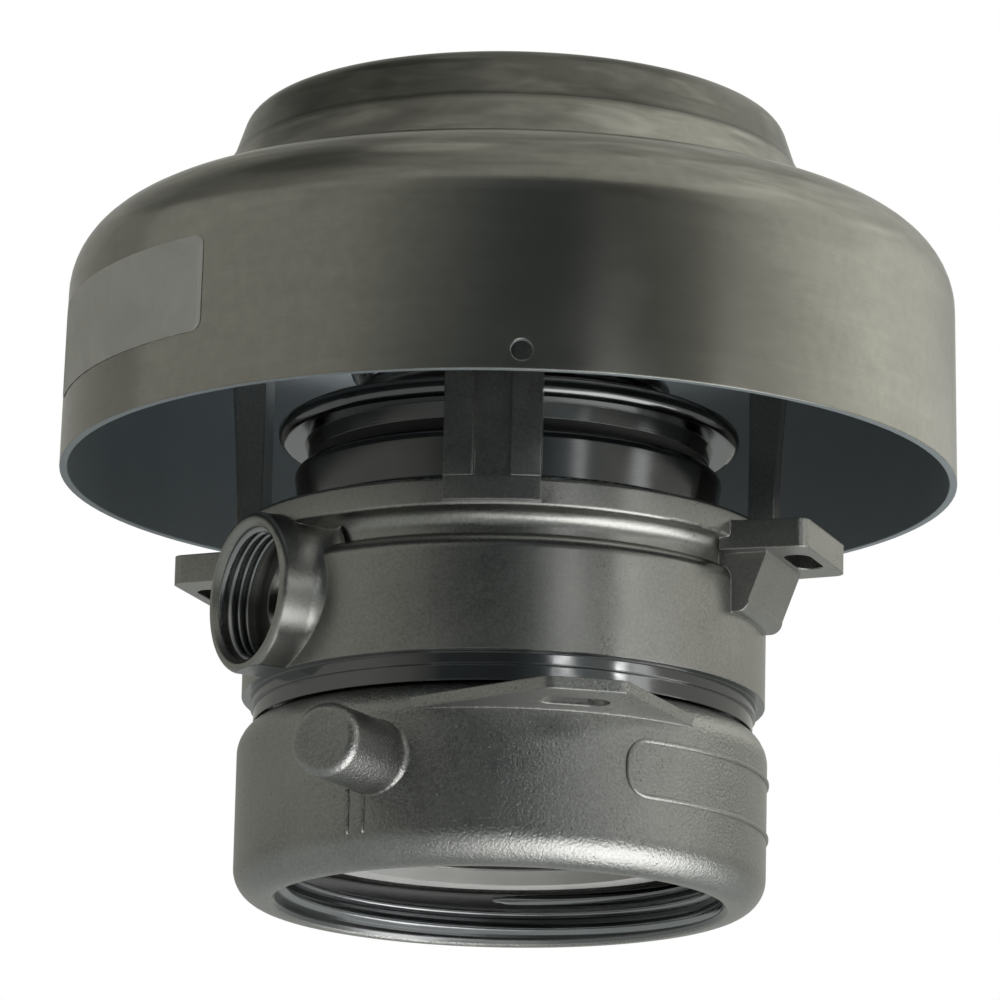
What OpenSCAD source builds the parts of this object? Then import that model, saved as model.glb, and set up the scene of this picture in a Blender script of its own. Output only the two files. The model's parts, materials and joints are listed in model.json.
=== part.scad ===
// Tank breather valve: a sprung pressure pallet with a vacuum poppet in its centre,
// under a spun rain canopy, on a swivel union nut.
// Millimetres, +Z up, origin at the centre of the nut's bottom face.
// Angles turn from the front (-Y) towards +X.

/* [Union nut] */
// Diameter of the union thread at its root
union_thread_d = 88.6; // [80:0.1:96]
// Length of the union thread from the bottom face
union_thread_l = 10.8; // [8:0.1:11]
// Wall of the nut outside the thread
nut_wall = 8.4; // [6:0.1:12]
// Height of the nut
nut_h = 36; // [32:0.5:44]
// Height of the inner lip that bears on the retaining ring
nut_lip_h = 14; // [10:0.5:16]
// Rounding of the nut's lower outer edge
nut_foot_round = 6.3; // [3:0.1:6.5]
// Rounding of the nut's upper outer edge
nut_top_round = 7; // [3:0.1:8]
// Running clearance between the nut and the tail
swivel_clear = 0.3; // [0.1:0.05:0.5]
// Direction of the first ear of the nut
ear_angle = 16.1; // [0:0.1:60]
// How far the nut's ears stand out from its wall
ear_out = 18.8; // [15:0.1:26]
// Thickness of the nut's ears
ear_t = 2.4; // [2:0.1:5]
// Height of the underside of the ears
ear_z = 29.5; // [24:0.5:30]
// Direction of the first drive peg
peg_angle = -24.8; // [-60:0.1:0]
// Diameter of the drive pegs
peg_d = 14.4; // [10:0.1:18]
// How far the drive pegs stand out from the nut's wall
peg_out = 19.3; // [10:0.1:26]
// Length of the slots in the ears
ear_slot_l = 14; // [10:0.5:16]
// Width of the slots in the ears
ear_slot_w = 7; // [5:0.1:8]
// Height of the drive pegs' axis
peg_z = 20.5; // [14:0.5:22]
// Rounding of the pegs' end edge
peg_round = 1.8; // [0.5:0.1:3]
// Thickness of the ring that carries the nut
retaining_ring_t = 2.6; // [2:0.1:4]
// Thickness of the gasket under the tail
gasket_t = 3; // [2:0.1:4]

/* [Body casting] */
// Radial gap between the tail and the root of the union thread
tail_gap = 3.7; // [3.2:0.1:5]
// Wall of the tail
tail_wall = 4.6; // [3.5:0.1:6]
// Length of the tail below the retaining ring
tail_end_l = 5.1; // [3:0.1:6]
// Gap between the top of the nut and the neck
neck_gap = 0.9; // [0.5:0.1:2]
// How far the turned neck stands in from the body wall
neck_inset = 1.8; // [0.5:0.1:4]
// Height of the turned neck
neck_h = 4.1; // [3:0.1:8]
// How far the neck's edge hangs down over the nut's rounded top
neck_skirt = 1.5; // [0.5:0.1:1.6]
// Step between the two lands of the neck
neck_step = 0.6; // [0.3:0.1:1]
// Diameter of the body wall
body_d = 104.2; // [103.5:0.1:116]
// Thickness of the body wall
body_wall = 6.1; // [5:0.1:8]
// Height of the body wall
body_h = 23.5; // [23:0.1:34]
// Rounding of the top of the body wall
shoulder_round = 3.2; // [1:0.1:4]
// Depth of the cove between the wall and the band
cove_depth = 2.6; // [1:0.1:3.5]
// Height of the cove
cove_h = 4.6; // [2.2:0.1:5.5]
// How far the band stands out from the wall
band_out = 1.5; // [0.5:0.1:4]
// Height of the band up to the window sill
band_h = 5.6; // [4:0.1:10]
// Rounding of the band's edges
band_round = 0.7; // [0.2:0.1:1.5]

/* [Side port] */
// Direction of the side port
port_angle = -57; // [-75:0.5:-25]
// Diameter of the port thread at its root
port_thread_d = 26.4; // [20:0.1:28]
// Length of the port thread
port_thread_l = 9; // [7:0.5:9.5]
// Diameter of the drilled way into the chamber
port_drill_d = 15; // [8:0.5:15]
// Wall of the boss outside the thread
port_wall = 2.8; // [2.2:0.1:3]
// Height of the port's axis above the lower edge of the wall
port_up = 15.2; // [15:0.1:17]
// How far the boss stands out from the wall
port_out = 6.4; // [5:0.1:12]
// Fillet at the foot of the boss
port_fillet = 5; // [1:0.1:5.4]

/* [Lugs] */
// Direction of the first lug
lug_angle = 73.4; // [65:0.1:80]
// How far the lugs stand out from the body wall
lug_out = 14.9; // [13:0.1:26]
// Thickness of the lugs
lug_t = 5.8; // [4:0.1:7]
// Drop of the lugs' underside below the band
lug_drop = 2.6; // [0:0.1:2.8]
// Corner radius of the lugs
lug_corner = 2.5; // [1:0.1:6]
// Length of the slots in the lugs
lug_slot_l = 13; // [8:0.5:16]
// Width of the slots in the lugs
lug_slot_w = 5.6; // [4:0.1:6]
// Width of the gusset under a lug
gusset_w = 22; // [10:0.5:26]
// Height of the gusset above its rounded foot
gusset_h = 9.3; // [4:0.1:12]
// How far the gusset stands out from the wall at the lug
gusset_top = 6.1; // [3:0.1:6.8]
// How far the gusset stands out from the wall at its foot
gusset_foot = 2.5; // [1:0.1:3]

/* [Cage] */
// Width of a pillar
pillar_w = 19; // [14:0.1:24]
// Radial thickness of a pillar
pillar_t = 5; // [4:0.1:6]
// Width of the channel in a pillar
channel_w = 7.3; // [5:0.1:9]
// Depth of the channel
channel_depth = 2.4; // [1:0.1:3]
// How far a pillar stands proud of the band
pillar_out = 0.8; // [0.4:0.1:2]
// Radius of the outward flare of the pillars
pillar_flare = 320; // [250:10:600]
// Height of the top ring
ring_h = 22.9; // [16:0.1:26]
// Wall of the top ring
ring_wall = 8; // [6:0.1:10]

/* [Nozzle] */
// Radial gap between the nozzle's flange and the pillars
nozzle_gap = 3.4; // [1:0.1:5]
// How much narrower the nozzle is at its foot than at its seat
nozzle_taper = 1.5; // [0.5:0.1:2.5]
// Wall of the nozzle at its seat
nozzle_wall = 4.8; // [4:0.1:6]
// Height of the seat above the window sill
nozzle_h = 12.8; // [10:0.1:16]
// Length of the nozzle's screwed spigot
nozzle_spigot_l = 8.5; // [6:0.5:9]
// Thickness of the flat gasket under the nozzle's flange
nozzle_gasket_t = 0.8; // [0.5:0.1:1]

/* [Pressure pallet] */
// Thickness of the soft seat ring
seal_t = 2.5; // [2:0.1:4]
// Thickness of the pallet's web
pallet_t = 6; // [5:0.1:8]
// How much narrower the pallet is at its soft seat than at its lip
pallet_taper = 1.3; // [0.5:0.1:2]
// How far the rolled lip stands out from the pallet
lip_out = 4.8; // [4:0.1:5.5]
// Radius of the rolled lip
lip_round = 2.1; // [1.5:0.1:2.5]
// Outer diameter of the guide tube
tube_d = 20; // [18:0.1:22]
// Wall of the guide tube
tube_wall = 2; // [1.5:0.1:2.2]
// Length of the guide tube inside the bush with the valve shut
tube_start = 8; // [5:0.5:8.5]
// Number of air holes for the vacuum valve
air_holes = 6; // [4:1:8]
// Diameter of the air holes
air_hole_d = 6; // [4:0.1:6.4]

/* [Vacuum poppet] */
// Radial room between the vacuum poppet and the nozzle's bore
poppet_room = 16; // [14:0.1:16.5]
// Thickness of the poppet's disc
poppet_t = 3; // [2:0.1:4]
// Thickness of the poppet's soft ring
poppet_seal_t = 2; // [1.5:0.1:3]
// Diameter of the poppet's stem
stem_d = 6; // [5:0.1:7]
// Length of the light spring
light_spring_l = 25; // [22:0.5:30]
// Wire of the light spring
light_wire = 1.2; // [0.8:0.1:1.4]
// Turns of the light spring
light_turns = 7; // [5:1:8]

/* [Main spring and cap] */
// Mean diameter of the main spring
spring_d = 60; // [54:0.5:66]
// Wire of the main spring
spring_wire = 4.5; // [3:0.1:5]
// Turns of the main spring
spring_turns = 5; // [4:0.5:6]
// Length of the main spring with the valve shut
spring_l = 38; // [34:0.5:42]
// Thickness of the upper spring plate
plate_t = 4; // [3:0.1:5]
// Diameter of the adjusting screw
adjuster_d = 36; // [34:0.5:40]
// Height of the cap above the canopy's hub
cap_h = 10.6; // [8:0.1:14]
// How much narrower the cap is at its top than at its foot
cap_taper = 2.2; // [0.5:0.1:4]
// Rounding of the cap's top edge
cap_round = 4.8; // [3:0.1:6]
// Length of the cap's screwed spigot
cap_spigot_l = 10; // [8:0.5:12]
// Depth of the recess round the lock ring
cap_recess = 6; // [5:0.1:7]

/* [Canopy] */
// Diameter of the canopy at its rim
canopy_d = 180; // [165:1:220]
// Sheet thickness of the canopy
sheet_t = 1.5; // [1:0.1:2]
// Height of the rim above the window sill
rim_up = 11.8; // [8:0.1:16]
// Height of the canopy from its rim to the flat top
canopy_h = 51.3; // [50:0.1:54]
// Radius of the canopy's shoulder
canopy_round = 16; // [8:0.5:18]
// Inward draft of the skirt over its height
canopy_draft = 0.6; // [0:0.1:2]
// Height of the hub above the flat top
hub_h = 12.6; // [10:0.1:16]
// How much wider the hub is at its foot than at its top
hub_flare = 4.2; // [1:0.1:5]
// Fillet between hub and flat top
hub_fillet = 3; // [1:0.1:5]
// Diameter of the small hole above the rim
rim_hole_d = 4.2; // [2:0.1:6]
// Direction of the small hole above the rim
rim_hole_angle = 4.7; // [-45:0.1:45]

/* [Hidden] */
$fn = 96;
eps = 0.5;
// Clearances
ring_clear = 0.1;
screw_clear = 0.1;
bush_clear = 0.05;
stem_clear = 0.08;
hub_clear = 0.4;
spring_clear = 0.6;
spring_gap = 0.3;
coil_gap = 0.2;
// Small roundings and the depth that a piece is sunk into its wall
edge_round = 0.4;
locator_round = 1;
poppet_round = 1.2;
root_depth = 1;
// Radii of nut and tail
thread_r = union_thread_d / 2;
nut_r = thread_r + nut_wall;
thread_chamfer = 1;
relief_depth = 0.9;
relief_r = thread_r + relief_depth;
tail_r = thread_r - tail_gap;
tail_bore_r = tail_r - tail_wall;
groove_depth = 2.4;
ring_gap = 1.2;
retaining_ring_r = relief_r - ring_gap;
ring_split = 4;
gasket_margin = 1;
gasket_r = tail_r + gasket_margin;
gasket_inset = 0.5;
gasket_bore_r = tail_bore_r + gasket_inset;
ear_reach = nut_r + ear_out;
ear_base_w = 62;
ear_root = 12.6;
ear_tip_w = 18.5;
ear_corner = 3;
ear_slot_inset = 10.6;
peg_reach = nut_r + peg_out;
peg_fillet = 1.6;
// Heights of nut and tail
lip_z = nut_h - nut_lip_h;
retaining_ring_z = lip_z - ring_clear * 3 - retaining_ring_t;
tail_z = retaining_ring_z - tail_end_l;
neck_z = nut_h + neck_gap;
// Body
body_r = body_d / 2;
neck_r = body_r - neck_inset;
neck_land_part = 0.41;
neck_skirt_w = 4.7;
chamber_r = body_r - body_wall;
cove_r = body_r - cove_depth;
band_r = body_r + band_out;
body_z = neck_z + neck_h;
cove_z = body_z + body_h;
band_z = cove_z + cove_h;
sill_z = band_z + band_h;
chamber_floor = 3;
chamber_roof = 0.6;
chamber_top_z = cove_z - chamber_roof;
port_z = body_z + port_up;
port_face = body_r + port_out;
port_r = port_thread_d / 2;
port_boss_r = port_r + port_wall;
port_chamfer = 1;
port_drill_in = 3;
port_edge_round = 1.2;
lug_z = band_z - lug_drop;
lug_reach = body_r + lug_out;
lug_base_w = 29;
lug_tip_w = 27;
lug_slot_inset = 4.8;
// Cage
pillar_r = band_r + pillar_out;
pillar_back_r = pillar_r - pillar_t;
pillar_foot = 0.8;
flare_room = 17;
ring_out = 1.5;
ring_r = pillar_r + ring_out;
ring_bore_r = ring_r - ring_wall;
// Canopy
canopy_r = canopy_d / 2;
hub_r = ring_r + hub_clear + sheet_t;
rim_z = sill_z + rim_up;
flat_z = rim_z + canopy_h;
hub_z = flat_z + hub_h;
rim_hole_up = 3.8;
hub_slope = atan(hub_flare / hub_h);
ring_top_z = hub_z - sheet_t;
ring_z = ring_top_z - ring_h;
pillar_top_z = flat_z - sheet_t - hub_clear;
// Nozzle
nozzle_flange_w = 3.2;
nozzle_flange_r = pillar_back_r - nozzle_gap;
nozzle_r = nozzle_flange_r - nozzle_flange_w;
nozzle_bore_r = nozzle_r - nozzle_wall;
throat_step = 1.8;
throat_r = nozzle_r - throat_step;
nozzle_flange_t = 1.6;
seat_z = sill_z + nozzle_h;
seat_bevel = 1.4;
// Pallet
pallet_inset = 1.3;
pallet_r = nozzle_r - pallet_inset;
pallet_seat_r = pallet_r - pallet_taper;
pallet_z = seat_z + seal_t;
pallet_top_z = pallet_z + pallet_t;
lip_r = pallet_r + lip_out;
lip_drop = 2.8;
lip_low_z = pallet_top_z - lip_drop;
lip_land = 0.2;
lip_edge = lip_round - lip_land / 2;
dish_wall = 1;
tube_r = tube_d / 2;
tube_bore_r = tube_r - tube_wall;
tube_step = 1;
tube_root_r = tube_r - tube_step;
tube_web = 5;
locator_h = 3;
// Vacuum poppet
poppet_r = nozzle_bore_r - poppet_room;
boss_h = 2;
poppet_seat_z = pallet_z - boss_h;
poppet_top_z = poppet_seat_z - poppet_seal_t;
poppet_margin = 1;
poppet_seal_r = poppet_r - poppet_margin;
poppet_seal_w = 3.5;
poppet_boss_h = 1.5;
boss_r = poppet_r + poppet_margin;
retainer_gap = 1;
retainer_bore_r = boss_r + retainer_gap;
retainer_clear = 1.5;
retainer_r = nozzle_bore_r - retainer_clear;
retainer_t = 2;
seal_grip = 3.5;
seal_bore_r = retainer_r - seal_grip;
air_hole_gap = 0.5;
air_circle_r = tube_r + air_hole_d / 2 + air_hole_gap;
stem_r = stem_d / 2;
tube_floor_z = poppet_seat_z + tube_web;
light_spring_gap = 1.2;
light_spring_r = tube_bore_r - light_wire / 2 - light_spring_gap;
cup_z = tube_floor_z + light_spring_l;
cup_t = 2;
cup_spigot = 2.5;
stem_nut_af = 9;
stem_nut_h = 4;
stem_end = 2;
// Screws of the retainer
retainer_screws_n = 6;
retainer_screw_r = 2;
retainer_screw_l = 5;
retainer_head_r = 3.4;
socket_r = 1.6;
socket_depth = 1;
retainer_circle_r = (retainer_bore_r + seal_bore_r) / 2;
// Spring, plate and adjuster
spring_r = spring_d / 2;
locator_r = spring_r - spring_wire / 2 - spring_clear;
plate_z = pallet_top_z + spring_l;
plate_margin = 3.75;
plate_r = spring_r + spring_wire / 2 + plate_margin;
plate_recess = 1;
adjuster_z = plate_z + plate_t - plate_recess;
adjuster_r = adjuster_d / 2;
bush_wall = 3;
bush_bore_r = tube_r + bush_clear;
bush_r = bush_bore_r + bush_wall;
adjuster_bore_r = bush_r + bush_clear;
tube_top_z = adjuster_z + tube_start;
// Cap
cap_inset = 0.3;
cap_r = hub_r - cap_inset;
cap_top_r = cap_r - cap_taper - cap_round;
cap_top_z = hub_z + cap_h;
recess_z = cap_top_z - cap_recess;
lock_ring_w = 6.5;
lock_ring_r = adjuster_r + lock_ring_w;
recess_gap = 1.5;
recess_r = lock_ring_r + recess_gap;
cap_boss_wall = 2;
cap_boss_r = recess_r + cap_boss_wall;
cap_boss_drop = 4.4;
cap_boss_z = hub_z - cap_boss_drop;
cap_plate = 7.5;
cap_cup_gap = 3.5;
cap_cup_r = plate_r + cap_cup_gap;
spigot_r = ring_bore_r - screw_clear;
adjuster_down = 3.5;
adjuster_top_z = cap_top_z - adjuster_down;
lock_ring_t = 3.4;
lock_slot_w = 5;
lock_slot_depth = 2.5;
adjuster_slot_w = 4;
adjuster_slot_depth = 2.5;
plug_t = 2;
plug_skirt = 4;
plug_wall = 1;
plug_rim = 2.5;
plug_r = adjuster_bore_r + plug_rim;
bush_top_z = adjuster_top_z - plug_skirt;
pin_hole_r = 3.5;
pin_hole_depth = 5;
pin_circle_r = (recess_r + cap_top_r) / 2;
// Sweep of the springs
wire_sides = 8;
steps_per_turn = 22;
end_turns = 1;

// Quarter of a round disc, in the corner given by the two signs
module quarter_section(r, x_side, z_side) {
    intersection() {
        circle(r);
        translate([min(x_side, 0) * r, min(z_side, 0) * r])
            square(r);
    }
}

// Half section of a disc from z0 to z1 with rounded outer edges
module disc_section(r, z0, z1, low = 0, high = 0) {
    translate([0, z0 + low])
        square([r, z1 - z0 - low - high]);
    if (low > 0) {
        translate([0, z0])
            square([r - low, low]);
        translate([r - low, z0 + low])
            quarter_section(low, 1, -1);
    }
    if (high > 0) {
        translate([0, z1 - high])
            square([r - high, high]);
        translate([r - high, z1 - high])
            quarter_section(high, 1, 1);
    }
}

// Half section of a ring
module ring_section(r_in, r_out, z0, z1) {
    translate([r_in, z0])
        square([r_out - r_in, z1 - z0]);
}

// Quarter of a square left by a circle in its outer corner
module fillet_section(r, x_side, z_side) {
    difference() {
        translate([min(x_side, 0) * r, min(z_side, 0) * r])
            square(r);
        translate([x_side * r, z_side * r])
            circle(r);
    }
}

// Plain turned ring
module ring(r_in, r_out, z0, z1) {
    rotate_extrude()
        ring_section(r_in, r_out, z0, z1);
}

// Upright cylinder between two heights
module post(r, z0, z1) {
    translate([0, 0, z0])
        cylinder(r = r, h = z1 - z0);
}

// Cylinder along a radius towards the front, between two distances from the axis
module radial_post(r, from, to, z) {
    translate([0, -from, z])
        rotate([90, 0, 0])
            cylinder(r = r, h = to - from);
}

// Point where a line from b touches a circle, on the side given
function touch_point(b, c, r, side) =
    let (d = c - b, far = norm(d), turn = side * asin(r / far), a = atan2(d[1], d[0]) + turn)
    b + sqrt(far * far - r * r) * [cos(a), sin(a)];

// Outline of a tapered lug that points to the front
module lug_outline(base_w, base_y, tip_w, reach, corner) {
    c = [tip_w / 2 - corner, -reach + corner];
    b = [base_w / 2, -base_y];
    t = touch_point(b, c, corner, 1);
    for (s = [-1, 1])
        translate([s * c[0], c[1]])
            circle(corner);
    polygon([[0, -base_y], b, t, c, [c[0], -reach],
             [-c[0], -reach], [-c[0], c[1]], [-t[0], t[1]], [-b[0], b[1]]]);
}

// Slot of a given length and width across a lug, at a distance from the axis
module lug_slot(distance, l, w) {
    half = (l - w) / 2;
    translate([-half, -distance - w / 2])
        square([half * 2, w]);
    for (s = [-1, 1])
        translate([s * half, -distance])
            circle(w / 2);
}

// Angle, height and ring of a coil whose end turns lie close
function coil_z(u, turns, wire, l) =
    let (close = wire + coil_gap, rise = (l - wire - 2 * end_turns * close) / (turns - 2 * end_turns))
    u < end_turns ? close * u
    : u > turns - end_turns ? l - wire - close * (turns - u)
    : close * end_turns + rise * (u - end_turns);
function coil_ring(u, r, wire, z) =
    [for (k = [0:wire_sides - 1])
        let (a = 360 * u, b = 360 * k / wire_sides, x = r + wire / 2 * cos(b))
        [x * sin(a), -x * cos(a), z + wire / 2 * sin(b)]];

// Coil spring of round wire, standing at height z
module coil(r, wire, l, turns, z) {
    steps = round(turns * steps_per_turn);
    points = [for (i = [0:steps])
        each coil_ring(i * turns / steps, r, wire, z + wire / 2 + coil_z(i * turns / steps, turns, wire, l))];
    sides = [for (i = [0:steps - 1], k = [0:wire_sides - 1])
        let (n = (k + 1) % wire_sides, p = i * wire_sides, q = p + wire_sides)
        each [[p + k, p + n, q + n], [p + k, q + n, q + k]]];
    first = [for (k = [wire_sides - 1:-1:0]) k];
    last = [for (k = [0:wire_sides - 1]) steps * wire_sides + k];
    polyhedron(points, concat(sides, [first, last]));
}

// Section of the body below the windows
module body_section() {
    disc_section(tail_r, tail_z, neck_z + eps);
    disc_section(neck_r - neck_step, neck_z, neck_z + neck_h);
    polygon([[neck_r - neck_step, neck_z + eps], [neck_r - neck_step, neck_z - neck_skirt],
             [neck_r - neck_step - neck_skirt_w, neck_z], [neck_r - neck_step - neck_skirt_w, neck_z + eps]]);
    disc_section(neck_r, neck_z + neck_h * neck_land_part, body_z + eps);
    disc_section(body_r, body_z, cove_z, 0, shoulder_round);
    disc_section(cove_r, cove_z - eps, band_z + eps);
    translate([cove_r, band_z])
        fillet_section(min(cove_depth + band_out - band_round, cove_h), 1, -1);
    disc_section(band_r, band_z, sill_z, band_round, band_round);
}

// Passages through the body and the groove of the retaining ring
module body_bore_section() {
    disc_section(tail_bore_r, tail_z - eps, sill_z + eps);
    ring_section(0, chamber_r, body_z + chamber_floor, chamber_top_z);
    ring_section(0, throat_r, chamber_top_z - eps, sill_z + eps);
    ring_section(tail_r - groove_depth, tail_r + eps, retaining_ring_z, retaining_ring_z + retaining_ring_t);
}

// Boss of the side port, with its foot trimmed to the wall and the band
module port_boss() {
    intersection() {
        rotate([0, 0, port_angle])
            rotate([90, 0, 0])
                rotate_extrude() {
                    disc_section(port_boss_r, chamber_r + root_depth, port_face, 0, port_edge_round);
                    translate([port_boss_r, body_r - port_fillet])
                        fillet_section(port_fillet, 1, 1);
                }
        post(port_face * 2, body_z - port_z, sill_z - port_z);
    }
}

// Thread and drilled way of the side port
module port_bore() {
    rotate([0, 0, port_angle]) {
        radial_post(port_r, port_face - port_thread_l, port_face + eps, port_z);
        radial_post(port_drill_d / 2, chamber_r - port_drill_in, port_face, port_z);
        translate([0, -port_face, port_z])
            rotate([90, 0, 0])
                translate([0, 0, -port_chamfer])
                    cylinder(r1 = port_r, r2 = port_r + port_chamfer + eps, h = port_chamfer + eps);
    }
}

// Lug of the body with the gusset below it
module body_lug() {
    root_r = chamber_r + root_depth;
    foot_z = lug_z - gusset_h;
    translate([0, 0, lug_z])
        linear_extrude(lug_t)
            lug_outline(lug_base_w, cove_r, lug_tip_w, lug_reach, lug_corner);
    translate([gusset_w / 2, 0, 0])
        rotate([90, 0, -90])
            linear_extrude(gusset_w) {
                polygon([[root_r, lug_z + eps], [body_r + gusset_top, lug_z + eps], [body_r + gusset_top, lug_z],
                         [body_r + gusset_foot, foot_z], [root_r, foot_z]]);
                translate([body_r, foot_z])
                    quarter_section(gusset_foot, 1, -1);
                ring_section(root_r, body_r, foot_z - gusset_foot, foot_z);
            }
}

// Revolved wall whose outer face flares upwards from the sill, cut to one bar
module flared_bar(width, r_back, r_face, z0, z1) {
    intersection() {
        rotate_extrude()
            difference() {
                ring_section(r_back, r_face + flare_room, z0, z1);
                translate([r_face + pillar_flare, sill_z])
                    circle(pillar_flare, $fn = 720);
            }
        translate([-width / 2, -canopy_r, z0])
            cube([width, canopy_r, z1 - z0]);
    }
}

// Everything outside a flared face, cut to the channel of one pillar
module channel_cut() {
    intersection() {
        rotate_extrude()
            intersection() {
                ring_section(pillar_back_r, canopy_r, sill_z, ring_z);
                translate([pillar_r - channel_depth + pillar_flare, sill_z])
                    circle(pillar_flare, $fn = 720);
            }
        translate([-channel_w / 2, -canopy_r, sill_z])
            cube([channel_w, canopy_r, ring_z - sill_z]);
    }
}

module valve_body() {
    color("#8f8d84")
    difference() {
        union() {
            rotate_extrude()
                body_section();
            translate([0, 0, port_z])
                port_boss();
            for (a = [0, 180])
                rotate([0, 0, lug_angle + a])
                    body_lug();
            for (a = [0:90:270])
                rotate([0, 0, a])
                    flared_bar(pillar_w, pillar_back_r, pillar_r, band_z + pillar_foot, sill_z);
        }
        rotate_extrude()
            body_bore_section();
        port_bore();
        for (a = [0, 180])
            rotate([0, 0, lug_angle + a])
                translate([0, 0, lug_z - eps])
                    linear_extrude(lug_t + 2 * eps)
                        lug_slot(lug_reach - lug_slot_inset, lug_slot_l, lug_slot_w);
    }
}

// The casting's four channel pillars, from the sill to the top ring
module cage_pillars() {
    color("#949289")
    for (a = [0:90:270])
        rotate([0, 0, a])
            difference() {
                flared_bar(pillar_w, pillar_back_r, pillar_r, sill_z, ring_z);
                channel_cut();
            }
}

// The casting's top ring with the heads of the pillars
module cage_ring() {
    color("#8a887f") {
        ring(ring_bore_r, ring_r, ring_z, ring_top_z);
        for (a = [0:90:270])
            rotate([0, 0, a])
                flared_bar(pillar_w, pillar_back_r, pillar_r, ring_z, pillar_top_z);
    }
}

// Drive peg with a rounded end and a fillet at its foot
module drive_peg() {
    translate([0, 0, peg_z])
        rotate([90, 0, 0])
            rotate_extrude() {
                disc_section(peg_d / 2, thread_r + nut_wall / 2, peg_reach, 0, peg_round);
                translate([peg_d / 2, nut_r - peg_fillet / 2])
                    fillet_section(peg_fillet, 1, 1);
            }
}

module union_nut() {
    color("#96958d")
    difference() {
        union() {
            rotate_extrude()
                disc_section(nut_r, 0, nut_h, nut_foot_round, nut_top_round);
            for (a = [0, 180]) {
                rotate([0, 0, ear_angle + a])
                    translate([0, 0, ear_z])
                        linear_extrude(ear_t)
                            lug_outline(ear_base_w, nut_r - ear_root, ear_tip_w, ear_reach, ear_corner);
                rotate([0, 0, peg_angle + a])
                    drive_peg();
            }
        }
        rotate_extrude() {
            ring_section(0, thread_r, -eps, union_thread_l + eps);
            polygon([[0, -eps], [thread_r + thread_chamfer + eps, -eps],
                     [thread_r, thread_chamfer], [0, thread_chamfer]]);
            ring_section(0, relief_r, union_thread_l, lip_z);
            ring_section(0, tail_r + swivel_clear, lip_z - eps, nut_h + eps);
        }
        for (a = [0, 180])
            rotate([0, 0, ear_angle + a])
                translate([0, 0, ear_z - eps])
                    linear_extrude(ear_t + 2 * eps)
                        lug_slot(ear_reach - ear_slot_inset, ear_slot_l, ear_slot_w);
    }
}

module nut_retaining_ring() {
    color("#b5b3aa")
    difference() {
        ring(tail_r - groove_depth + ring_clear, retaining_ring_r, retaining_ring_z,
             retaining_ring_z + retaining_ring_t);
        translate([-ring_split / 2, 0, retaining_ring_z - eps])
            cube([ring_split, nut_r, retaining_ring_t + 2 * eps]);
    }
}

module union_gasket() {
    color("#f2f1ec")
        ring(gasket_bore_r, gasket_r, tail_z - gasket_t, tail_z);
}

module seat_nozzle() {
    color("#c9c8c4")
    rotate_extrude()
        difference() {
            union() {
                disc_section(throat_r - screw_clear, sill_z - nozzle_spigot_l, sill_z + nozzle_gasket_t + eps);
                disc_section(nozzle_flange_r, sill_z + nozzle_gasket_t,
                             sill_z + nozzle_gasket_t + nozzle_flange_t, 0, edge_round);
                polygon([[0, sill_z + nozzle_gasket_t], [nozzle_r - nozzle_taper, sill_z + nozzle_gasket_t],
                         [nozzle_r, seat_z - seat_bevel - eps], [0, seat_z - seat_bevel - eps]]);
                disc_section(nozzle_r, seat_z - seat_bevel - eps, seat_z, 0, seat_bevel);
            }
            ring_section(0, nozzle_bore_r, sill_z - nozzle_spigot_l - eps, seat_z + eps);
        }
}

module nozzle_gasket() {
    color("#55504a")
        ring(throat_r + ring_clear, nozzle_flange_r, sill_z, sill_z + nozzle_gasket_t);
}

module pressure_pallet() {
    color("#bdbcb6")
    difference() {
        rotate_extrude() {
            polygon([[0, pallet_z], [pallet_seat_r, pallet_z], [pallet_r, pallet_top_z], [0, pallet_top_z]]);
            disc_section(boss_r, poppet_seat_z, pallet_z + eps, edge_round, 0);
            disc_section(locator_r, pallet_top_z - eps, pallet_top_z + locator_h, 0, locator_round);
            disc_section(lip_r, lip_low_z, lip_low_z + 2 * lip_round, lip_edge, lip_edge);
        }
        post(tube_root_r + ring_clear, poppet_seat_z - eps, pallet_top_z + locator_h + eps);
        // The dish that holds the spring inside the lip
        rotate_extrude()
            ring_section(locator_r, lip_r - 2 * lip_round - dish_wall, pallet_top_z, pallet_top_z + locator_h);
        for (i = [0:air_holes - 1])
            rotate([0, 0, 360 / air_holes * i])
                translate([0, -air_circle_r, 0])
                    post(air_hole_d / 2, poppet_seat_z - eps, pallet_top_z + locator_h + eps);
        for (i = [0:retainer_screws_n - 1])
            rotate([0, 0, 360 / retainer_screws_n * (i + 0.5)])
                translate([0, -retainer_circle_r, 0])
                    post(retainer_screw_r + ring_clear, pallet_z - eps, pallet_z + retainer_screw_l - retainer_t);
    }
}

module pallet_seal() {
    color("#3b3a37")
        ring(seal_bore_r, pallet_seat_r, seat_z, pallet_z);
}

module seal_retainer() {
    color("#b4b2aa")
    difference() {
        rotate_extrude() {
            ring_section(retainer_bore_r, seal_bore_r - ring_clear, seat_z - retainer_t, pallet_z);
            ring_section(retainer_bore_r, retainer_r, seat_z - retainer_t, seat_z);
        }
        for (i = [0:retainer_screws_n - 1])
            rotate([0, 0, 360 / retainer_screws_n * (i + 0.5)])
                translate([0, -retainer_circle_r, 0]) {
                    post(retainer_screw_r + ring_clear, seat_z - retainer_t - eps, pallet_z + eps);
                    post(retainer_head_r + ring_clear, seat_z - retainer_t - eps, seat_z);
                }
    }
}

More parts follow.
